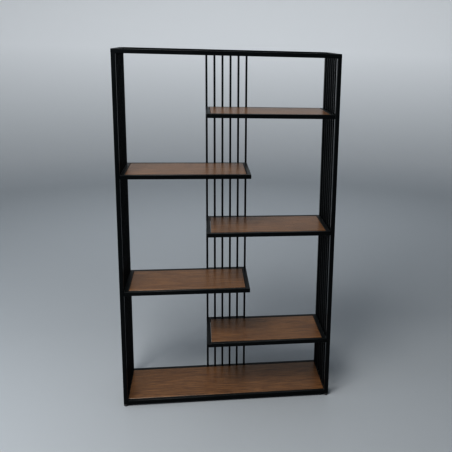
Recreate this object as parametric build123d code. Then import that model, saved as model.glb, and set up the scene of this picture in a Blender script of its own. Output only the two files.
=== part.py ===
from build123d import *
import os

# A tall open bookcase of welded steel tube. Its five half-width shelves are clamped to six round
# rods at the back and to the bars of one side panel, and slide up or down when the clamps are
# loosened. A full-width board closes the base. Sizes are in millimetres, with +Z up, +X to the
# right and the front facing -Y. The origin is on the floor, under the middle of the bookcase.

# Outside sizes
height = 1800
width = 1068
depth = 340

# Square tube, mitred and welded
tube = 20
tube_wall = 1.5
tube_corner = 2
inner_corner = 0.5

# Round bars of the side panels and the back
bar_diameter = 10
rod_count = 6
rod_spacing = 41
side_bar_count = 5

# Half-width shelves, numbered from the bottom: odd ones hang on the right, even ones on the left
shelf_count = 5
first_shelf_top = 330
shelf_spacing = 295
free_end = 108           # how far a shelf reaches past the middle of the bookcase
sliding_gap = 0.3        # between a shelf and what it slides along

# Boards, which drop into their frames and rest on welded tabs
board_thickness = 16
board_gap = 2
board_edge = 0.8
tab_length = 25
tab_width = 20
tab_thickness = 3
base_tab_count = 3       # on each long rail of the base
shelf_tab_count = 2      # on each long rail of a shelf

# Clamps: a flat bar behind the bars, pulled towards the shelf by button-head M6 screws
clamp_bar_length = 216
clamp_bar_height = 14
clamp_bar_thickness = 4
clamp_bar_hole = 6.4
clamp_bar_edge = 0.4
screw_diameter = 6
screw_length = 25
head_diameter = 10.5
head_height = 3.3
head_crown = 2.3         # radius of the rounded rim
socket_width = 4
socket_depth = 2
boss_diameter = 9
boss_depth = 6.5
thread_bore = 6.1

# Feet
foot_height = 10         # from the floor to the underside of the frame
foot_diameter = 20
pad_height = 5.5
pad_edge = 1
hexagon_width = 13
hexagon_height = 4.2
stud_diameter = 8
stud_length = 25
insert_flange = 2
insert_plug_height = 22
insert_plug_gap = 0.1
insert_bore = 8.2

# Holes for the two screws that can hold the top to a wall
wall_hole = 5.5
wall_hole_spacing = 800

# Places worked out from the sizes above
half_width = width / 2
half_depth = depth / 2
inside_x = half_width - tube                    # inner faces of the posts
inside_y = half_depth - tube
frame_bottom = foot_height
base_top = frame_bottom + tube
top_underside = height - tube
bar_radius = bar_diameter / 2
rod_y = inside_y + bar_radius                   # the rods' fronts are level with the rear posts' fronts
side_bar_x = inside_x + bar_radius              # the side bars' inner sides are level with the posts'
clamp_offset = bar_radius + sliding_gap         # from a bar's middle to its clamp bar
rod_xs = [rod_spacing * (i - (rod_count - 1) / 2) for i in range(rod_count)]
side_bar_spacing = 2 * inside_y / (side_bar_count + 1)
side_bar_ys = [side_bar_spacing * (i + 1) - inside_y for i in range(side_bar_count)]
through = 3 * tube                              # long enough to cut right through any piece


def tube_profile():
    """Section of the square tube."""
    bore = tube - 2 * tube_wall
    return RectangleRounded(tube, tube, tube_corner) - RectangleRounded(bore, bore, inner_corner)


def tube_along_x(x_start, x_end, y_middle, z_middle):
    blank = extrude(Plane.YZ * tube_profile(), amount=x_end - x_start)
    return Pos(x_start, y_middle, z_middle) * blank


def tube_along_y(y_start, y_end, x_middle, z_middle):
    blank = extrude(Plane.ZX * tube_profile(), amount=y_end - y_start)
    return Pos(x_middle, y_start, z_middle) * blank


def mitre_block(corners, z_middle):
    """Upright block whose slanted ends trim a rail to its mitres."""
    outline = make_face(Polyline(*corners, close=True))
    return Pos(0, 0, z_middle - tube) * extrude(outline, amount=2 * tube)


def mitred_frame(left, right, front, rear, top):
    """The four rails of a flat welded frame, with mitred corners, by the side that each is on."""
    z_middle = top - tube / 2
    half = tube / 2
    outer = {"fl": (left, front), "fr": (right, front), "rl": (left, rear), "rr": (right, rear)}
    inner = {
        "fl": (left + tube, front + tube),
        "fr": (right - tube, front + tube),
        "rl": (left + tube, rear - tube),
        "rr": (right - tube, rear - tube),
    }
    blanks = {
        "front": (tube_along_x(left, right, front + half, z_middle), "fl", "fr"),
        "rear": (tube_along_x(left, right, rear - half, z_middle), "rl", "rr"),
        "left": (tube_along_y(front, rear, left + half, z_middle), "fl", "rl"),
        "right": (tube_along_y(front, rear, right - half, z_middle), "fr", "rr"),
    }
    rails = {}
    for side, (blank, start, end) in blanks.items():
        rails[side] = blank & mitre_block([outer[start], outer[end], inner[end], inner[start]], z_middle)
    return rails


def post(x_side, y_side):
    """Corner post: a plain length of tube from its foot insert to the top frame."""
    bottom = frame_bottom + insert_flange
    blank = extrude(tube_profile(), amount=top_underside - bottom)
    return Pos(x_side * (half_width - tube / 2), y_side * (half_depth - tube / 2), bottom) * blank


def top_rails():
    """Top frame, with two holes through the rear rail for screws into a wall."""
    rails = mitred_frame(-half_width, half_width, -half_depth, half_depth, height)
    for x_side in (-1, 1):
        hole = Rot(90, 0, 0) * Cylinder(wall_hole / 2, through)
        rails["rear"] -= Pos(x_side * wall_hole_spacing / 2, half_depth - tube / 2, height - tube / 2) * hole
    return rails


def base_rails():
    """Base frame: four lengths of tube between the posts, with square ends."""
    z_middle = base_top - tube / 2
    y_middle = half_depth - tube / 2
    x_middle = half_width - tube / 2
    return {
        "front": tube_along_x(-inside_x, inside_x, -y_middle, z_middle),
        "rear": tube_along_x(-inside_x, inside_x, y_middle, z_middle),
        "left": tube_along_y(-inside_y, inside_y, -x_middle, z_middle),
        "right": tube_along_y(-inside_y, inside_y, x_middle, z_middle),
    }


def upright_bars(places):
    """Round bars welded between the base frame and the top frame."""
    bar = extrude(Circle(bar_radius), amount=top_underside - base_top)
    return Compound(children=[Pos(x, y, base_top) * bar for x, y in places])


def board(left, right, front, rear, top):
    """Wooden board with a small gap to its frame and a fine bevel round its top edge."""
    x_size = right - left - 2 * (tube + board_gap)
    y_size = rear - front - 2 * (tube + board_gap)
    blank = Box(x_size, y_size, board_thickness, align=(Align.CENTER, Align.CENTER, Align.MAX))
    blank = chamfer(blank.faces().sort_by(Axis.Z)[-1].edges(), board_edge)
    return Pos((left + right) / 2, (front + rear) / 2, top) * blank


def board_tabs(left, right, front, rear, top, count):
    """Small plates welded inside the front and rear rails, under the board, evenly along them."""
    tab = Box(tab_length, tab_width, tab_thickness, align=(Align.CENTER, Align.CENTER, Align.MAX))
    stretch = (right - left) / count
    x_tabs = [left + stretch * (i + 0.5) for i in range(count)]
    y_tabs = (front + tube + tab_width / 2, rear - tube - tab_width / 2)
    z_tab = top - board_thickness
    return Compound(children=[Pos(x, y, z_tab) * tab for y in y_tabs for x in x_tabs])


def clamp_screw():
    """Button-head screw along +Z, with the underside of its head at zero."""
    head = Cylinder(head_diameter / 2, head_height, align=(Align.CENTER, Align.CENTER, Align.MIN))
    head = fillet(head.edges().sort_by(Axis.Z)[-1], head_crown)
    socket = extrude(RegularPolygon(socket_width / 2, 6, major_radius=False), amount=socket_depth)
    shank = Cylinder(screw_diameter / 2, screw_length, align=(Align.CENTER, Align.CENTER, Align.MAX))
    return head - Pos(0, 0, head_height - socket_depth) * socket + shank


def clamp_bar(screw_offsets):
    """Flat bar along +X with its front face at zero and its thickness along +Z, all edges eased."""
    outline = RectangleRounded(clamp_bar_length, clamp_bar_height, tube_corner)
    for offset in screw_offsets:
        outline -= Pos(offset, 0) * Circle(clamp_bar_hole / 2)
    bar = extrude(outline, amount=clamp_bar_thickness)
    faces = bar.faces().sort_by(Axis.Z)
    return chamfer(faces[0].edges() + faces[-1].edges(), clamp_bar_edge)


def threaded_boss():
    """Collar that flow drilling leaves inside the tube wall, along -Z from the wall's outer face."""
    return Cylinder(boss_diameter / 2, boss_depth, align=(Align.CENTER, Align.CENTER, Align.MAX))


def clamp_places(wall_side, z_middle):
    """Where a shelf is clamped, behind the rods and outside its side bars. For each: the placement
    of the bars' middle line, where the screws are along it, and the rail that they pull on."""
    behind = Location(Plane(origin=(0, rod_y, z_middle), x_dir=(1, 0, 0), z_dir=(0, 1, 0)))
    beside = Location(
        Plane(origin=(wall_side * side_bar_x, 0, z_middle), x_dir=(0, 1, 0), z_dir=(wall_side, 0, 0))
    )
    rod_gaps = [(rod_xs[i] + rod_xs[i + 1]) / 2 for i in range(0, rod_count - 1, 2)]
    bar_gaps = [(side_bar_ys[i] + side_bar_ys[i + 1]) / 2 for i in (0, side_bar_count - 2)]
    return [(behind, rod_gaps, "rear_rail"), (beside, bar_gaps, "side_rail")]


def clamp_shelf(pieces, wall_side, top):
    """Adds the clamp bars and screws, and the threaded bosses in the rails that they pull on."""
    bars, screws = [], []
    boss_bore = Cylinder(thread_bore / 2, tube)
    for place, screw_offsets, rail in clamp_places(wall_side, top - tube / 2):
        bars.append(place * Pos(0, 0, clamp_offset) * clamp_bar(screw_offsets))
        for offset in screw_offsets:
            screws.append(place * Pos(offset, 0, clamp_offset + clamp_bar_thickness) * clamp_screw())
            rail_face = place * Pos(offset, 0, -bar_radius - sliding_gap)
            pieces[rail] = pieces[rail] + rail_face * threaded_boss() - rail_face * boss_bore
    pieces["clamp_bars"] = Compound(children=bars)
    pieces["clamp_screws"] = Compound(children=screws)


def half_shelf(wall_side, top):
    """Every piece of one half-width shelf, by name. wall_side is 1 on the right and -1 on the left."""
    left, right = sorted((wall_side * (inside_x - sliding_gap), -wall_side * free_end))
    front, rear = -half_depth, inside_y - sliding_gap
    rails = mitred_frame(left, right, front, rear, top)
    side, free = ("right", "left") if wall_side > 0 else ("left", "right")
    pieces = {
        "front_rail": rails["front"],
        "rear_rail": rails["rear"],
        "side_rail": rails[side],
        "free_rail": rails[free],
        "board_tabs": board_tabs(left, right, front, rear, top, shelf_tab_count),
        "board": board(left, right, front, rear, top),
    }
    clamp_shelf(pieces, wall_side, top)
    return pieces


def foot():
    """Levelling foot: a round pad, a hexagon for the spanner and a threaded stud, moulded as one."""
    pad = Cylinder(foot_diameter / 2, pad_height, align=(Align.CENTER, Align.CENTER, Align.MIN))
    pad = chamfer(pad.edges().filter_by(GeomType.CIRCLE), pad_edge)
    hexagon = extrude(RegularPolygon(hexagon_width / 2, 6, major_radius=False), amount=hexagon_height)
    stud_start = pad_height + hexagon_height
    stud = Cylinder(stud_diameter / 2, stud_length, align=(Align.CENTER, Align.CENTER, Align.MIN))
    return pad + Pos(0, 0, pad_height) * hexagon + Pos(0, 0, stud_start) * stud


def foot_insert():
    """Plug pressed into the end of a post, with a flange over the tube's end and a threaded bore."""
    flange = extrude(RectangleRounded(tube, tube, tube_corner), amount=insert_flange)
    plug_width = tube - 2 * tube_wall - 2 * insert_plug_gap
    plug = extrude(RectangleRounded(plug_width, plug_width, inner_corner), amount=insert_plug_height)
    solid = flange + Pos(0, 0, insert_flange) * plug
    return solid - Cylinder(insert_bore / 2, through)


def bookcase():
    """Every node of the bookcase, by name."""
    nodes = {}
    corners = {
        "front_left": (-1, -1),
        "front_right": (1, -1),
        "rear_left": (-1, 1),
        "rear_right": (1, 1),
    }
    inserts = []
    for name, (x_side, y_side) in corners.items():
        x_foot, y_foot = x_side * (half_width - tube / 2), y_side * (half_depth - tube / 2)
        nodes[f"{name}_post"] = post(x_side, y_side)
        nodes[f"{name}_foot"] = Pos(x_foot, y_foot, 0) * foot()
        inserts.append(Pos(x_foot, y_foot, frame_bottom) * foot_insert())
    nodes["foot_inserts"] = Compound(children=inserts)

    top, base = top_rails(), base_rails()
    nodes["top_front_rail"] = top["front"]
    nodes["top_rear_rail"] = top["rear"]
    nodes["top_side_rails"] = Compound(children=[top["left"], top["right"]])
    nodes["base_front_rail"] = base["front"]
    nodes["base_rear_rail"] = base["rear"]
    nodes["base_side_rails"] = Compound(children=[base["left"], base["right"]])

    nodes["back_rods"] = upright_bars([(x, rod_y) for x in rod_xs])
    nodes["left_side_bars"] = upright_bars([(-side_bar_x, y) for y in side_bar_ys])
    nodes["right_side_bars"] = upright_bars([(side_bar_x, y) for y in side_bar_ys])

    nodes["base_board_tabs"] = board_tabs(
        -inside_x, inside_x, -half_depth, half_depth, base_top, base_tab_count
    )
    nodes["base_board"] = board(-half_width, half_width, -half_depth, half_depth, base_top)

    for number in range(1, shelf_count + 1):
        wall_side = 1 if number % 2 else -1
        shelf_top = first_shelf_top + shelf_spacing * (number - 1)
        for piece, shape in half_shelf(wall_side, shelf_top).items():
            nodes[f"shelf_{number}_{piece}"] = shape
    return nodes


os.makedirs("parts", exist_ok=True)
for node, shape in bookcase().items():
    export_step(shape, f"parts/{node}.step")
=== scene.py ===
import math
import random

import bmesh
import bpy
from mathutils import Matrix, Vector, noise


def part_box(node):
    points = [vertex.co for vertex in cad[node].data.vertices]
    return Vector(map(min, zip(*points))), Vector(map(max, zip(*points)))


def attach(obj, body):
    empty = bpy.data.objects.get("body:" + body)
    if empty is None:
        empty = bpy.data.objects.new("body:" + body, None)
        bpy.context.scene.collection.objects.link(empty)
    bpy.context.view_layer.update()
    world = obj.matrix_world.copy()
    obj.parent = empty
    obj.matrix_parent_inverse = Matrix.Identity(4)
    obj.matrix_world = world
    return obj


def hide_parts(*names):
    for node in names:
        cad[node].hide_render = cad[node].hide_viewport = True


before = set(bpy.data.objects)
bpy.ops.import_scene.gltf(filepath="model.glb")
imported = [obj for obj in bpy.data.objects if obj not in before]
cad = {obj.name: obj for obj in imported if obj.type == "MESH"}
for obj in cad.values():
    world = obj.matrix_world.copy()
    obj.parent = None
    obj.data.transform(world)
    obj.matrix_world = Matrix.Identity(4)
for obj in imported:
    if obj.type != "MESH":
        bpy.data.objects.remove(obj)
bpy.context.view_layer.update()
mm = 0.001


# ---- Welded frame -------------------------------------------------------------------------------
# Four posts, a mitred top frame and four base rails, all of 20 mm square steel tube. The lengths
# are sawn, MIG-welded, ground flush where they show and powder-coated in satin black. The coat has
# a fine orange peel, thins a little over the corners and holds some dust on its upper faces.

def add_node(tree, kind, inputs=None, **settings):
    """A shader node with its settings, and each input set to a value or linked to an output."""
    node = tree.nodes.new(kind)
    for key, value in settings.items():
        setattr(node, key, value)
    for key, value in (inputs or {}).items():
        if isinstance(value, bpy.types.NodeSocket):
            tree.links.new(value, node.inputs[key])
        else:
            node.inputs[key].default_value = value
    return node


def maths(tree, operation, first, second=0.0):
    """The result of one sum on two values."""
    return add_node(tree, "ShaderNodeMath", {0: first, 1: second}, operation=operation).outputs[0]


def stretch(tree, value, from_low, from_high, to_low=0.0, to_high=1.0):
    """A value moved from one range to another, and held inside it."""
    limits = {"From Min": from_low, "From Max": from_high, "To Min": to_low, "To Max": to_high}
    return add_node(tree, "ShaderNodeMapRange", {"Value": value, **limits}).outputs[0]


def blotches(tree, place, size, detail=3.0, roughness=0.5):
    """Cloudy noise whose blotches are about size metres across."""
    per_metre = maths(tree, "DIVIDE", 1.0, size)
    settings = {"Vector": place, "Scale": per_metre, "Detail": detail, "Roughness": roughness}
    return add_node(tree, "ShaderNodeTexNoise", settings).outputs["Fac"]


def cover(tree, mask, under, over):
    """One colour, covered by another where the mask is."""
    return add_node(tree, "ShaderNodeMix", {0: mask, 6: under, 7: over}, data_type="RGBA").outputs[2]


def start_group(name, inputs, outputs):
    """An empty node group with named sockets: its tree, what it is given and where its results go."""
    tree = bpy.data.node_groups.new(name, "ShaderNodeTree")
    for in_out, sockets in (("INPUT", inputs), ("OUTPUT", outputs)):
        for socket, kind in sockets.items():
            tree.interface.new_socket(name=socket, in_out=in_out, socket_type=f"NodeSocket{kind}")
    return tree, tree.nodes.new("NodeGroupInput").outputs, tree.nodes.new("NodeGroupOutput").inputs


def orange_peel_group():
    """The soft lumps of a powder coat or a moulded skin, as a height from 0 to 1."""
    inputs = {"Place": "Vector", "Lump": "Float"}
    tree, given, result = start_group("orange_peel", inputs, {"Height": "Float"})
    tree.links.new(blotches(tree, given["Place"], given["Lump"], 2.0, 0.4), result["Height"])
    return tree


def edge_wear_group():
    """A mask along the sharp edges, which comes and goes in patches."""
    inputs = {"Place": "Vector", "Reach": "Float", "Patch": "Float", "Amount": "Float"}
    tree, given, result = start_group("edge_wear", inputs, {"Mask": "Float"})
    rounded = add_node(tree, "ShaderNodeBevel", {"Radius": given["Reach"]}, samples=4).outputs[0]
    surface = add_node(tree, "ShaderNodeNewGeometry").outputs["Normal"]
    facing = add_node(tree, "ShaderNodeVectorMath", {0: rounded, 1: surface}, operation="DOT_PRODUCT")
    edge = stretch(tree, facing.outputs["Value"], 0.985, 0.80)
    patches = stretch(tree, blotches(tree, given["Place"], given["Patch"], 5.0, 0.65), 0.42, 0.68)
    worn = maths(tree, "MULTIPLY", maths(tree, "MULTIPLY", edge, patches), given["Amount"])
    tree.links.new(worn, result["Mask"])
    return tree


def settled_dust_group():
    """A mask of the fine dust that lies on faces that look up."""
    inputs = {"Place": "Vector", "Patch": "Float", "Amount": "Float"}
    tree, given, result = start_group("settled_dust", inputs, {"Mask": "Float"})
    surface = add_node(tree, "ShaderNodeNewGeometry").outputs["Normal"]
    upward = add_node(tree, "ShaderNodeSeparateXYZ", {0: surface}).outputs["Z"]
    facing = stretch(tree, upward, 0.55, 1.0)
    drifts = stretch(tree, blotches(tree, given["Place"], given["Patch"], 8.0, 0.7), 0.35, 0.75, 0.25, 1.0)
    lying = maths(tree, "MULTIPLY", maths(tree, "MULTIPLY", facing, drifts), given["Amount"])
    tree.links.new(lying, result["Mask"])
    return tree


orange_peel = orange_peel_group()
edge_wear = edge_wear_group()
settled_dust = settled_dust_group()
dust_grey = (0.30, 0.29, 0.27, 1.0)


def start_material(name):
    """A new material: the material, its node tree, its shader's inputs and the place in metres."""
    material = bpy.data.materials.new(name)
    material.use_nodes = True
    tree = material.node_tree
    place = add_node(tree, "ShaderNodeTexCoord").outputs["Object"]
    return material, tree, tree.nodes["Principled BSDF"].inputs, place


def satin_powder_coat(name, thin_coat, thick_coat, worn_coat, dust):
    """A dark coat, slightly cloudy, thin and grey over the edges, with orange peel and some dust."""
    material, tree, shader, place = start_material(name)
    peel = add_node(tree, "ShaderNodeGroup", {"Place": place, "Lump": 1.5 * mm}, node_tree=orange_peel)
    edges = {"Place": place, "Reach": 0.8 * mm, "Patch": 22 * mm, "Amount": 0.5}
    worn = add_node(tree, "ShaderNodeGroup", edges, node_tree=edge_wear).outputs["Mask"]
    lying = {"Place": place, "Patch": 60 * mm, "Amount": dust}
    dusty = add_node(tree, "ShaderNodeGroup", lying, node_tree=settled_dust).outputs["Mask"]
    cloud = blotches(tree, place, 110 * mm)
    coat = cover(tree, cloud, thin_coat, thick_coat)
    tree.links.new(cover(tree, dusty, cover(tree, worn, coat, worn_coat), dust_grey), shader["Base Color"])
    satin = stretch(tree, cloud, 0.3, 0.7, 0.28, 0.38)
    tree.links.new(maths(tree, "ADD", satin, dusty), shader["Roughness"])
    shader["Specular IOR Level"].default_value = 0.15
    relief = {"Height": peel.outputs["Height"], "Strength": 0.45, "Distance": 0.12 * mm}
    tree.links.new(add_node(tree, "ShaderNodeBump", relief).outputs[0], shader["Normal"])
    return material


thin_black = (0.0013, 0.0020, 0.0024, 1)
thick_black = (0.0024, 0.0034, 0.0039, 1)
worn_grey = (0.024, 0.029, 0.032, 1)
black_coat = satin_powder_coat("black_powder_coat", thin_black, thick_black, worn_grey, dust=0.02)
# The top rear rail isn't among these, so that its two wall holes keep their edges.
eased_rails = ("top_front_rail", "top_side_rails", "base_front_rail", "base_rear_rail", "base_side_rails")


def finish(name, material):
    """Gives a CAD node its finish."""
    for material_slot in cad[name].material_slots:
        material_slot.material = material


def ease_ends(name):
    """Rounds a CAD node's sawn ends a little, as grinding and the coat leave them."""
    join = cad[name].modifiers.new("join", "WELD")
    join.merge_threshold = 0.001 * mm
    ease = cad[name].modifiers.new("ease", "BEVEL")
    ease.width = 0.35 * mm
    ease.segments = 2
    ease.limit_method = "ANGLE"
    ease.angle_limit = math.radians(40)
    ease.harden_normals = True


for name in cad:
    if name.endswith("_post") or name.startswith(("top_", "base_")) and name != "base_board":
        finish(name, black_coat)
    if name.endswith("_post") or name in eased_rails:
        ease_ends(name)


def weld_bead(mesh, roots, outward, upward, outline, ripple=1.3 * mm):
    """A weld bead along a row of points. Its outline, in metres, is measured outward and upward from
    the root. The size ripples where the pool froze, wanders a little, and tapers at both ends."""
    rings, run, taper_length = [], 0.0, 1.5 * mm
    length = sum((b - a).length for a, b in zip(roots, roots[1:]))
    for i, root in enumerate(roots):
        run += (root - roots[i - 1]).length if i else 0.0
        taper = min(1.0, 0.55 + 0.45 * min(run, length - run) / taper_length)
        frozen = 0.06 * (run / ripple % 1.0)
        wander = 0.10 * noise.noise((root + Vector((run, 0, 0))) / (5 * mm))
        size = taper * (0.94 + frozen + wander)
        rings.append([mesh.verts.new(root + size * (u * outward[i] + v * upward[i])) for u, v in outline])
    close_loft(mesh, rings)


def close_loft(mesh, rings, hollow=False):
    """Joins rings of the same number of points into a closed skin, with flat ends unless hollow."""
    count = len(rings[0])
    for ring, following in zip(rings, rings[1:] + rings[:1] * hollow):
        for i in range(count):
            j = (i + 1) % count
            mesh.faces.new((ring[i], ring[j], following[j], following[i]))
    if not hollow:
        mesh.faces.new(rings[0][::-1])
        mesh.faces.new(rings[-1])


def fillet_outline(leg_out, leg_up, sunk=0.12 * mm):
    """Section of a fillet weld with a slightly full face, sunk a little into what it joins."""
    face = [(math.cos(math.radians(d)) ** 1.5, math.sin(math.radians(d)) ** 1.5) for d in range(0, 91, 15)]
    return [(-sunk, -sunk)] + [(max(leg_out * u, -sunk), max(leg_up * v, -sunk)) for u, v in face]


def straight_bead(mesh, start, end, outward, upward, outline):
    """A weld bead along a straight line, with points close enough for its ripples."""
    start, end = Vector(start), Vector(end)
    steps = max(8, round((end - start).length / (0.3 * mm)))
    roots = [start.lerp(end, i / steps) for i in range(steps + 1)]
    weld_bead(mesh, roots, [Vector(outward)] * (steps + 1), [Vector(upward)] * (steps + 1), outline)


def add_piece(name, mesh, body, material, sharp=40):
    """Turns mesh work into a finished piece that moves with its body."""
    bmesh.ops.recalc_face_normals(mesh, faces=mesh.faces)
    data = bpy.data.meshes.new(name)
    mesh.to_mesh(data)
    mesh.free()
    data.shade_smooth()
    data.set_sharp_from_angle(angle=math.radians(sharp))
    data.materials.append(material)
    piece = bpy.data.objects.new(name, data)
    bpy.context.scene.collection.objects.link(piece)
    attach(piece, body)
    return piece


def corner_welds():
    """The beads left standing at each corner of the frame, inside, where nobody grinds them."""
    mesh = bmesh.new()
    end_gap = 2 * mm
    post_fillet = fillet_outline(2.6 * mm, 2.6 * mm)
    corner_fillet = fillet_outline(1.4 * mm, 1.4 * mm)
    top_low, top_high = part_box("top_front_rail")
    base_low, base_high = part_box("base_front_rail")
    for name in [n for n in cad if n.endswith("_post")]:
        low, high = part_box(name)
        x_side, y_side = (1 if low.x > 0 else -1), (1 if low.y > 0 else -1)
        x_in, x_out = (low.x, high.x) if x_side > 0 else (high.x, low.x)
        y_in, y_out = (low.y, high.y) if y_side > 0 else (high.y, low.y)
        x_inward, y_inward = (-x_side, 0, 0), (0, -y_side, 0)
        for z, up in ((high.z, (0, 0, -1)), (base_high.z, (0, 0, 1))):
            y_ends = y_out - y_side * end_gap, y_in + y_side * end_gap
            x_ends = x_out - x_side * end_gap, x_in + x_side * end_gap
            straight_bead(mesh, (x_in, y_ends[0], z), (x_in, y_ends[1], z), x_inward, up, post_fillet)
            straight_bead(mesh, (x_ends[0], y_in, z), (x_ends[1], y_in, z), y_inward, up, post_fillet)
        for z_low, z_high in ((base_low.z, base_high.z), (top_low.z, top_high.z)):
            start, end = (x_in, y_in, z_low + end_gap), (x_in, y_in, z_high - end_gap)
            straight_bead(mesh, start, end, x_inward, y_inward, corner_fillet)
    return mesh


def tab_welds(mesh, tabs_name, count):
    """A flat bead under each tab, along the rail that it stands out from. Each rail has count tabs."""
    tab_length, end_gap = 25 * mm, 1.5 * mm
    outline = fillet_outline(3 * mm, 0.9 * mm, 0.3 * mm)
    low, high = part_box(tabs_name)
    for y, inward in ((low.y, 1), (high.y, -1)):
        for i in range(count):
            start = low.x + (high.x - low.x - tab_length) * i / (count - 1)
            ends = start + end_gap, start + tab_length - end_gap
            straight_bead(mesh, (ends[0], y, low.z), (ends[1], y, low.z), (0, inward, 0), (0, 0, -1), outline)
    return mesh


add_piece("corner_welds", corner_welds(), "frame", black_coat)
add_piece("base_tab_welds", tab_welds(bmesh.new(), "base_board_tabs", 3), "frame", black_coat)


# ---- Bars of the back and the sides -------------------------------------------------------------
# Round 10 mm bars, six at the back and five in each side panel, sawn square and welded between the
# base frame and the top frame. Each end has a bead round its outer side only, so that the side
# that the shelves slide along stays clean.

bar_radius = 5 * mm


def bar_places():
    """The middle of each bar, and the angle that its outer side faces, in degrees."""
    places = []
    for group_name, side_angle in (("back_rods", 90), ("left_side_bars", 180), ("right_side_bars", 0)):
        low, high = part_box(group_name)
        row_length = max(high.x - low.x, high.y - low.y) - 2 * bar_radius
        count = 6 if group_name == "back_rods" else 5
        for i in range(count):
            step = row_length * i / (count - 1) + bar_radius
            if group_name == "back_rods":
                places.append((Vector((low.x + step, low.y + bar_radius, 0)), side_angle))
            else:
                places.append((Vector((low.x + bar_radius, low.y + step, 0)), side_angle))
    return places


def bar_welds():
    """A bead round the outer side of each end of each bar, reaching 112 degrees each way."""
    mesh = bmesh.new()
    outline = fillet_outline(2.4 * mm, 2.6 * mm)
    reach = 112
    low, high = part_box("back_rods")
    for middle, side_angle in bar_places():
        angles = [math.radians(side_angle + d) for d in range(-reach, reach + 1, 4)]
        outward = [Vector((math.cos(a), math.sin(a), 0)) for a in angles]
        for z, up in ((low.z, 1), (high.z, -1)):
            roots = [middle + bar_radius * way + Vector((0, 0, z)) for way in outward]
            upward = [Vector((0, 0, up))] * len(roots)
            weld_bead(mesh, roots, outward, upward, outline)
    return mesh


for name in ("back_rods", "left_side_bars", "right_side_bars"):
    finish(name, black_coat)
add_piece("bar_welds", bar_welds(), "frame", black_coat)


# ---- Inserts and feet ---------------------------------------------------------------------------
# A nylon plug with fins is pressed into the end of each post. A foot moulded in one piece, with a
# ribbed pad, a hexagon for the spanner and an M8 thread, screws up into it to level the bookcase.

def moulded_nylon(name, colour, bloom):
    """Dark nylon with the fine grain of its mould, paler and duller in patches."""
    material, tree, shader, place = start_material(name)
    grain = add_node(tree, "ShaderNodeGroup", {"Place": place, "Lump": 0.35 * mm}, node_tree=orange_peel)
    patches = stretch(tree, blotches(tree, place, 6 * mm, 5.0, 0.6), 0.35, 0.70)
    edges = {"Place": place, "Reach": 0.4 * mm, "Patch": 4 * mm, "Amount": 0.6}
    worn = add_node(tree, "ShaderNodeGroup", edges, node_tree=edge_wear).outputs["Mask"]
    tree.links.new(cover(tree, worn, cover(tree, patches, colour, bloom), dust_grey), shader["Base Color"])
    tree.links.new(stretch(tree, patches, 0.0, 1.0, 0.42, 0.60), shader["Roughness"])
    relief = {"Height": grain.outputs["Height"], "Strength": 0.5, "Distance": 0.05 * mm}
    tree.links.new(add_node(tree, "ShaderNodeBump", relief).outputs[0], shader["Normal"])
    return material


def circle(radius):
    """An outline as a function that gives its radius at an angle, like the three that follow."""
    return lambda angle: radius


def ribbed_circle(radius, rib_depth, rib_count):
    """Circle with grooves of the given depth between its ribs."""
    return lambda angle: radius - rib_depth * (0.5 + 0.5 * math.cos(rib_count * angle)) ** 2


def hexagon(across_flats, corner=0.97):
    """Hexagon whose corners are cut to a circle, as a share of its full width across them."""
    half, sixth = across_flats / 2, math.pi / 3
    widest = corner * half / math.cos(sixth / 2)
    return lambda angle: min(half / math.cos(angle % sixth - sixth / 2), widest)


def rounded_square(half, corner):
    """Square of the given half width with rounded corners."""
    middle = half - corner

    def radius_at(angle):
        off_side = abs((angle + math.pi / 4) % (math.pi / 2) - math.pi / 4)
        if half * math.tan(off_side) <= middle:
            return half / math.cos(off_side)
        lean = math.sin(2 * off_side)
        return middle * math.sqrt(1 + lean) + math.sqrt(corner**2 - middle**2 * (1 - lean))

    return radius_at


def stacked(mesh, place, outlines, points, hollow=False):
    """A skin over outlines stacked along the axis of a place, each a height and a radius, in mm."""
    rings = []
    for height, radius_at in outlines:
        ring = []
        for i in range(points):
            angle = 2 * math.pi * i / points
            radius = radius_at(angle)
            spot = Vector((radius * math.cos(angle), radius * math.sin(angle), height)) * mm
            ring.append(mesh.verts.new(place @ spot))
        rings.append(ring)
    close_loft(mesh, rings, hollow)


def screw_thread(mesh, place, low, high, root, crest, pitch):
    """The ridge of a screw thread round the axis of a place, running out at both ends, in mm."""
    per_turn, sunk = 20, 0.1
    count = round(((high - low) / pitch - 1) * per_turn)
    rings = []
    for i in range(count + 1):
        angle = 2 * math.pi * i / per_turn
        height = low + pitch * (0.5 + i / per_turn)
        runout = min(1.0, i / per_turn, (count - i) / per_turn)
        tip = root + max(0.02, runout) * (crest - root)
        section = [(root - sunk, -0.46), (tip, -0.07), (tip, 0.07), (root - sunk, 0.46)]
        way = Vector((math.cos(angle), math.sin(angle), 0))
        spots = [radius * way + Vector((0, 0, height + part * pitch)) for radius, part in section]
        rings.append([mesh.verts.new(place @ (spot * mm)) for spot in spots])
    close_loft(mesh, rings)


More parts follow.
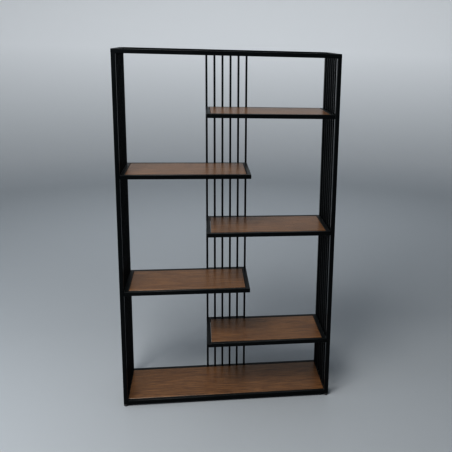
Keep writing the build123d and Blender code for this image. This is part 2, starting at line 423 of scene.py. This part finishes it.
def levelling_foot(place):
    """Pad with a ribbed rim and a hollow underside, hexagon and threaded stud."""
    mesh = bmesh.new()
    root, crest, pitch, ribs, spanner_flats = 3.4, 4.0, 1.25, 24, hexagon(13.0)
    hollow_base = [(0.7, circle(3.0)), (0.7, circle(6.4)), (0.5, circle(6.8)), (0.0, circle(7.2))]
    rim = [(0.0, circle(8.8)), (0.3, circle(9.3)), (0.9, ribbed_circle(9.9, 0.1, ribs))]
    rim += [(z, ribbed_circle(10.0, 0.45, ribs)) for z in (1.3, 2.6, 4.0)]
    rim += [(4.6, ribbed_circle(9.9, 0.1, ribs)), (5.2, circle(9.4)), (5.5, circle(8.9))]
    spanner_part = [(5.5, hexagon(14.0)), (5.9, spanner_flats), (9.2, spanner_flats), (9.7, circle(6.3))]
    stud = [(9.7, circle(3.7)), (10.2, circle(root)), (34.0, circle(root)), (34.7, circle(2.8))]
    stacked(mesh, place, hollow_base + rim + spanner_part + stud, 96)
    screw_thread(mesh, place, 10.0, 34.2, root, crest, pitch)
    return mesh


foot_names = [n for n in cad if n.endswith("_foot")]


def finned_inserts():
    """The four plugs, each with a flange, four fins that grip the tube, and a bore for the thread."""
    mesh = bmesh.new()
    flange = [(0.0, rounded_square(9.7, 1.8)), (0.3, rounded_square(10.0, 2.0))]
    flange += [(1.8, rounded_square(10.0, 2.0)), (2.0, rounded_square(9.8, 1.9))]
    body, fin = rounded_square(7.9, 0.4), rounded_square(8.35, 0.5)
    plug = [(2.0, body)]
    for z in (5.0, 10.0, 15.0, 20.0):
        plug += [(z, body), (z + 0.3, fin), (z + 0.9, fin), (z + 2.2, body)]
    plug += [(23.2, body), (24.0, rounded_square(7.2, 0.4))]
    bore = [(24.0, circle(4.5)), (23.6, circle(4.1)), (0.4, circle(4.1)), (0.0, circle(4.5))]
    for name in foot_names:
        low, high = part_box(name)
        middle = (low + high) / 2
        place = Matrix.Translation((middle.x, middle.y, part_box("foot_inserts")[0].z))
        stacked(mesh, place, flange + plug + bore, 96, hollow=True)
    return mesh


foot_nylon = moulded_nylon("foot_nylon", (0.010, 0.010, 0.011, 1), (0.022, 0.022, 0.023, 1))
for name in foot_names:
    low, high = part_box(name)
    place = Matrix.Translation(((low.x + high.x) / 2, (low.y + high.y) / 2, low.z))
    foot = add_piece(f"{name}_moulded", levelling_foot(place), name, foot_nylon)
    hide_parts(name)
insert_nylon = moulded_nylon("insert_nylon", (0.013, 0.013, 0.014, 1), (0.028, 0.028, 0.029, 1))
inserts = add_piece("finned_inserts", finned_inserts(), "frame", insert_nylon)
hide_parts("foot_inserts")


# ---- Shelf frames -------------------------------------------------------------------------------
# Each half-width shelf is a mitred frame of the same tube, coated like the main frame. The mitres
# are ground flush on top and keep their beads underneath. Four tabs carry the board.

def mitre_welds(mesh, low, high):
    """A low bead across the underside of each mitre of a flat frame, from outer to inner corner."""
    half_bead, rise, sunk = 2.2 * mm, 0.5 * mm, 0.1 * mm
    across = [math.radians(d) for d in range(0, 181, 20)]
    outline = [(half_bead * math.cos(a), rise * math.sin(a)) for a in across]
    outline = [(half_bead, -sunk)] + outline + [(-half_bead, -sunk)]
    outer_gap, inner_gap = 3 * mm, 18.5 * mm
    for x, x_in in ((low.x, 1), (high.x, -1)):
        for y, y_in in ((low.y, 1), (high.y, -1)):
            ends = [(x + x_in * gap, y + y_in * gap, low.z) for gap in (outer_gap, inner_gap)]
            sideways = Vector((x_in, -y_in, 0)).normalized()
            straight_bead(mesh, *ends, sideways, (0, 0, -1), outline)
    return mesh


shelf_names = [f"shelf_{k}" for k in range(1, 6)]
for shelf in shelf_names:
    for part in ("front_rail", "rear_rail", "side_rail", "free_rail", "board_tabs"):
        finish(f"{shelf}_{part}", black_coat)
    ease_ends(f"{shelf}_front_rail")
    ease_ends(f"{shelf}_free_rail")
    frame_low, frame_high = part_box(f"{shelf}_front_rail")[0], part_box(f"{shelf}_rear_rail")[1]
    welds = mitre_welds(tab_welds(bmesh.new(), f"{shelf}_board_tabs", 2), frame_low, frame_high)
    add_piece(f"{shelf}_welds", welds, shelf, black_coat)


# ---- Clamps -------------------------------------------------------------------------------------
# Each shelf has two flat bars, one behind the back's round bars and one outside the side's, which
# M6 button-head screws pull towards it, so that it grips and can be moved when they are loosened.
# The flat bars are coated like the frame, and the steel screws are oxidised black.

bare_steel = (0.30, 0.29, 0.27, 1)
screw_head_height = 3.3


def black_oxide(name):
    """Oiled black oxide on steel: cloudy, and rubbed bright in places along the edges."""
    material, tree, shader, place = start_material(name)
    cloud = stretch(tree, blotches(tree, place, 3 * mm, 4.0, 0.6), 0.35, 0.68)
    edges = {"Place": place, "Reach": 0.25 * mm, "Patch": 2 * mm, "Amount": 0.7}
    worn = add_node(tree, "ShaderNodeGroup", edges, node_tree=edge_wear).outputs["Mask"]
    oxide = cover(tree, cloud, (0.020, 0.020, 0.022, 1), (0.045, 0.042, 0.040, 1))
    tree.links.new(cover(tree, worn, oxide, bare_steel), shader["Base Color"])
    tree.links.new(stretch(tree, cloud, 0.0, 1.0, 0.32, 0.48), shader["Roughness"])
    shader["Metallic"].default_value = 0.9
    grain = add_node(tree, "ShaderNodeGroup", {"Place": place, "Lump": 0.15 * mm}, node_tree=orange_peel)
    relief = {"Height": grain.outputs["Height"], "Strength": 0.3, "Distance": 0.02 * mm}
    tree.links.new(add_node(tree, "ShaderNodeBump", relief).outputs[0], shader["Normal"])
    return material


def button_head_screw(mesh, place):
    """M6 screw along the axis of a place, with the underside of its head at zero, in mm."""
    root, crest, pitch, key_socket = 2.45, 3.0, 1.0, hexagon(4.0, 1.0)
    shank = [(-25.0, circle(2.0)), (-24.4, circle(root)), (-1.0, circle(root)), (-0.5, circle(2.9))]
    rim = [(0.0, circle(2.9)), (0.0, circle(5.0)), (0.2, circle(5.25))]
    crown = [math.radians(d) for d in range(0, 91, 15)]
    dome = [(1.0 + 2.3 * math.sin(a), circle(2.95 + 2.3 * math.cos(a))) for a in crown]
    socket = [(screw_head_height, circle(2.5)), (3.05, key_socket), (1.3, key_socket), (1.0, circle(0.8))]
    stacked(mesh, place, shank + rim + dome + socket, 36)
    screw_thread(mesh, place, -24.8, -1.0, root, crest, pitch)


def pointing(spot, way):
    """The place at a spot whose axis points the given way."""
    return Matrix.Translation(spot) @ Vector(way).to_track_quat("Z", "Y").to_matrix().to_4x4()


def clamp_screws(shelf):
    """Three screws between pairs of the back's bars, and two between pairs of a side's bars."""
    mesh = bmesh.new()
    head_height = screw_head_height * mm
    low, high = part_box(f"{shelf}_clamp_screws")
    z = (low.z + high.z) / 2
    outer_side = 1 if high.x > -low.x else -1
    bars = [middle for middle, _ in bar_places()]
    back_bars, side_bars = bars[:6], bars[6:11]
    for i in (0, 2, 4):
        spot = ((back_bars[i].x + back_bars[i + 1].x) / 2, high.y - head_height, z)
        button_head_screw(mesh, pointing(spot, (0, 1, 0)))
    head_under = (high.x if outer_side > 0 else low.x) - outer_side * head_height
    for i in (0, 3):
        spot = (head_under, (side_bars[i].y + side_bars[i + 1].y) / 2, z)
        button_head_screw(mesh, pointing(spot, (outer_side, 0, 0)))
    return mesh


screw_oxide = black_oxide("screw_oxide")
for shelf in shelf_names:
    finish(f"{shelf}_clamp_bars", black_coat)
    screws = add_piece(f"{shelf}_socket_screws", clamp_screws(shelf), shelf, screw_oxide)
    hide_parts(f"{shelf}_clamp_screws")


# ---- Boards -------------------------------------------------------------------------------------
# Walnut boards, 16 mm thick with a fine bevel round the top, lacquered satin. They lie loose on the
# tabs inside the frames. Each is cut from its own plank, so its rings and streaks are its own.

def walnut_group():
    """The figure of a sawn walnut plank about its heart: growth rings, streaks, fibres and pores."""
    inputs = {"Place": "Vector", "Heart": "Vector", "Ring": "Float"}
    outputs = {"Rings": "Float", "Streaks": "Float", "Fibres": "Float", "Pores": "Float"}
    tree, given, result = start_group("walnut", inputs, outputs)

    def vectors(operation, first, second):
        node = add_node(tree, "ShaderNodeVectorMath", {0: first, 1: second}, operation=operation)
        return node.outputs[0]

    def long_noise(place, along, across, detail):
        """Noise drawn out along the plank: how many blotches to the metre along it and across it."""
        settings = {"Vector": vectors("MULTIPLY", place, (along, across, across)), "Scale": 1.0}
        settings |= {"Detail": detail, "Roughness": 0.6}
        return add_node(tree, "ShaderNodeTexNoise", settings).outputs["Fac"]

    from_heart = vectors("SUBTRACT", given["Place"], given["Heart"])
    slow = vectors("MULTIPLY", from_heart, (0.16, 1.0, 1.0))
    sway = add_node(tree, "ShaderNodeTexNoise", {"Vector": slow, "Scale": 9.0, "Detail": 2.0})
    centred = vectors("SUBTRACT", sway.outputs["Color"], (0.5, 0.5, 0.5))
    bent = vectors("ADD", from_heart, vectors("MULTIPLY", centred, (0.0, 0.06, 0.06)))
    across = vectors("MULTIPLY", bent, (0.035, 1.0, 1.0))
    radius = add_node(tree, "ShaderNodeVectorMath", {0: across}, operation="LENGTH").outputs["Value"]
    within = maths(tree, "FRACT", maths(tree, "DIVIDE", radius, given["Ring"]))
    tree.links.new(maths(tree, "POWER", within, 3.0), result["Rings"])
    tree.links.new(long_noise(bent, 6.0, 230.0, 5.0), result["Streaks"])
    tree.links.new(long_noise(bent, 14.0, 620.0, 4.0), result["Fibres"])
    fine_pores = stretch(tree, long_noise(bent, 42.0, 1200.0, 2.0), 0.57, 0.68)
    flecks = stretch(tree, long_noise(bent, 17.0, 300.0, 3.0), 0.58, 0.70)
    tree.links.new(maths(tree, "MAXIMUM", fine_pores, flecks), result["Pores"])
    return tree


walnut = walnut_group()
dark_streak = (0.040, 0.0175, 0.0072, 1)
walnut_brown = (0.090, 0.0445, 0.0180, 1)
pale_streak = (0.155, 0.080, 0.032, 1)
late_wood = (0.062, 0.027, 0.010, 1)
open_pore = (0.034, 0.014, 0.006, 1)
# Paler edge colour for the boards: part rubbed wear, part painted highlight along the bevel.
rubbed_edge_and_highlight = (0.28, 0.16, 0.08, 1)


def lacquered_walnut(name, heart, ring):
    """Walnut cut beside the given heart, with rings of the given width, under satin lacquer."""
    material, tree, shader, place = start_material(name)
    plank = {"Place": place, "Heart": heart, "Ring": ring}
    figure = add_node(tree, "ShaderNodeGroup", plank, node_tree=walnut).outputs
    # The edge mask paints the bevel paler: part wear, part painted highlight.
    edges = {"Place": place, "Reach": 0.9 * mm, "Patch": 15 * mm, "Amount": 0.8}
    worn = add_node(tree, "ShaderNodeGroup", edges, node_tree=edge_wear).outputs["Mask"]
    lying = {"Place": place, "Patch": 90 * mm, "Amount": 0.02}
    dusty = add_node(tree, "ShaderNodeGroup", lying, node_tree=settled_dust).outputs["Mask"]
    streaks = maths(tree, "MULTIPLY", figure["Streaks"], 0.65)
    fibres = maths(tree, "MULTIPLY", figure["Fibres"], 0.35)
    tone = add_node(tree, "ShaderNodeValToRGB", {"Fac": maths(tree, "ADD", streaks, fibres)})
    ramp = tone.color_ramp
    ramp.elements[0].position, ramp.elements[0].color = 0.40, dark_streak
    ramp.elements[1].position, ramp.elements[1].color = 0.62, pale_streak
    ramp.elements.new(0.5).color = walnut_brown
    ringed = cover(tree, maths(tree, "MULTIPLY", figure["Rings"], 0.26), tone.outputs["Color"], late_wood)
    pored = cover(tree, maths(tree, "MULTIPLY", figure["Pores"], 0.55), ringed, open_pore)
    colour = cover(tree, dusty, cover(tree, worn, pored, rubbed_edge_and_highlight), dust_grey)
    tree.links.new(colour, shader["Base Color"])
    tree.links.new(stretch(tree, figure["Fibres"], 0.3, 0.7, 0.35, 0.27), shader["Roughness"])
    shader["Specular IOR Level"].default_value = 0.35
    relief = {"Height": figure["Pores"], "Strength": 0.35, "Distance": 0.08 * mm}
    tree.links.new(add_node(tree, "ShaderNodeBump", relief, invert=True).outputs[0], shader["Normal"])
    return material


random.seed(7)
for name in sorted(n for n in cad if n.endswith("board")):
    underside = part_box(name)[0].z
    heart = (random.uniform(-0.3, 0.3), random.uniform(-0.10, 0.10), underside - random.uniform(0.06, 0.16))
    ring_width = random.uniform(6, 10) * mm
    finish(name, lacquered_walnut(f"{name}_walnut", heart, ring_width))


# ---- Floor, light and camera --------------------------------------------------------------------
# A round floor that curves up into a wall all round. The wall has painted light, palest from 1.6 to
# 3 metres up as if lit there, and painted shade above that. One soft light is high at the front left,
# a wider one is low at the left, a third lights the wall behind, and a weak one comes from everywhere.

def studio_floor():
    """A flat round floor, the bend round its rim and the wall above that, turned from one profile."""
    flat, bend, wall = 5.0, 2.5, 3.0
    profile = [(r, 0.0) for r in (1.0, 2.0, 3.0, 4.0)]
    turn = [math.radians(d) for d in range(0, 91, 6)]
    profile += [(flat + bend * math.sin(a), bend * (1 - math.cos(a))) for a in turn]
    profile.append((flat + bend, bend + wall))
    sides = 96
    mesh = bmesh.new()
    around = [2 * math.pi * i / sides for i in range(sides)]
    rings = [[mesh.verts.new((r * math.cos(a), r * math.sin(a), z)) for a in around] for r, z in profile]
    mesh.faces.new(rings[0])
    for inner, outer in zip(rings, rings[1:]):
        for i in range(sides):
            j = (i + 1) % sides
            mesh.faces.new((inner[i], outer[i], outer[j], inner[j]))
    data = bpy.data.meshes.new("studio_floor")
    mesh.to_mesh(data)
    mesh.free()
    data.shade_smooth()
    floor = bpy.data.objects.new("studio_floor", data)
    bpy.context.scene.collection.objects.link(floor)
    return floor


floor = studio_floor()
floor_material, floor_tree, floor_shader, floor_place = start_material("pale_floor")
wall_top = 5.5
height = add_node(floor_tree, "ShaderNodeSeparateXYZ", {0: floor_place}).outputs["Z"]
paint = add_node(floor_tree, "ShaderNodeValToRGB", {"Fac": stretch(floor_tree, height, 0.0, wall_top)})
floor_grey = (0.20, 0.213, 0.225, 1)
skirting_grey = (0.26, 0.27, 0.28, 1)
painted_light_band = (0.52, 0.53, 0.54, 1)
painted_shade_high_wall = (0.10, 0.105, 0.11, 1)
# Painted light on the backdrop: a pale band where the wall looks lit, and painted shade up high.
paint.color_ramp.elements[0].color = floor_grey
paint.color_ramp.elements[1].color = painted_shade_high_wall
for share, colour in ((0.04, skirting_grey), (0.30, painted_light_band), (0.55, painted_light_band)):
    paint.color_ramp.elements.new(share).color = colour
floor_tree.links.new(paint.outputs["Color"], floor_shader["Base Color"])
floor_shader["Roughness"].default_value = 0.6
floor.data.materials.append(floor_material)

world = bpy.data.worlds.new("studio")
world.use_nodes = True
sky = world.node_tree.nodes["Background"].inputs
sky["Color"].default_value = (0.88, 0.94, 1.0, 1)
sky["Strength"].default_value = 0.60
bpy.context.scene.world = world
bpy.context.scene.view_settings.view_transform = "Standard"
bpy.context.scene.view_settings.look = "High Contrast"


def soft_light(name, place, target, size, power, colour):
    """A rectangular light turned from its place towards a target, with its power in watts."""
    data = bpy.data.lights.new(name, "AREA")
    data.shape = "RECTANGLE"
    data.size, data.size_y = size
    data.energy = power
    data.color = colour
    lamp = bpy.data.objects.new(name, data)
    lamp.location = place
    lamp.rotation_euler = (Vector(target) - Vector(place)).to_track_quat("-Z", "Y").to_euler()
    bpy.context.scene.collection.objects.link(lamp)


soft_light("window_light", (-1.3, -2.2, 3.7), (0.0, 0.0, 0.8), (1.8, 1.8), 190, (1.0, 0.97, 0.93))
soft_light("side_light", (-3.4, -0.9, 1.3), (0.0, 0.0, 1.1), (3.0, 2.2), 120, (0.93, 0.96, 1.0))
soft_light("wall_light", (0.0, 2.5, 3.0), (0.0, 7.0, 0.5), (4.0, 1.0), 70, (0.96, 0.98, 1.0))

lens = bpy.data.cameras.new("camera")
lens.sensor_width = 36
lens.lens = 51.55
lens.shift_x, lens.shift_y = -0.1637, -0.0796
eye = (-0.138, -3.2472, 1.8721)
turn_right, tilt_down, lean = 0.1571, 0.2315, 0.0289
camera = bpy.data.objects.new("camera", lens)
camera.matrix_world = (
    Matrix.Translation(eye)
    @ Matrix.Rotation(-turn_right, 4, "Z")
    @ Matrix.Rotation(-tilt_down, 4, "X")
    @ Matrix.Rotation(-lean, 4, "Y")
    @ Matrix.Rotation(math.radians(90), 4, "X")
)
bpy.context.scene.collection.objects.link(camera)
bpy.context.scene.camera = camera
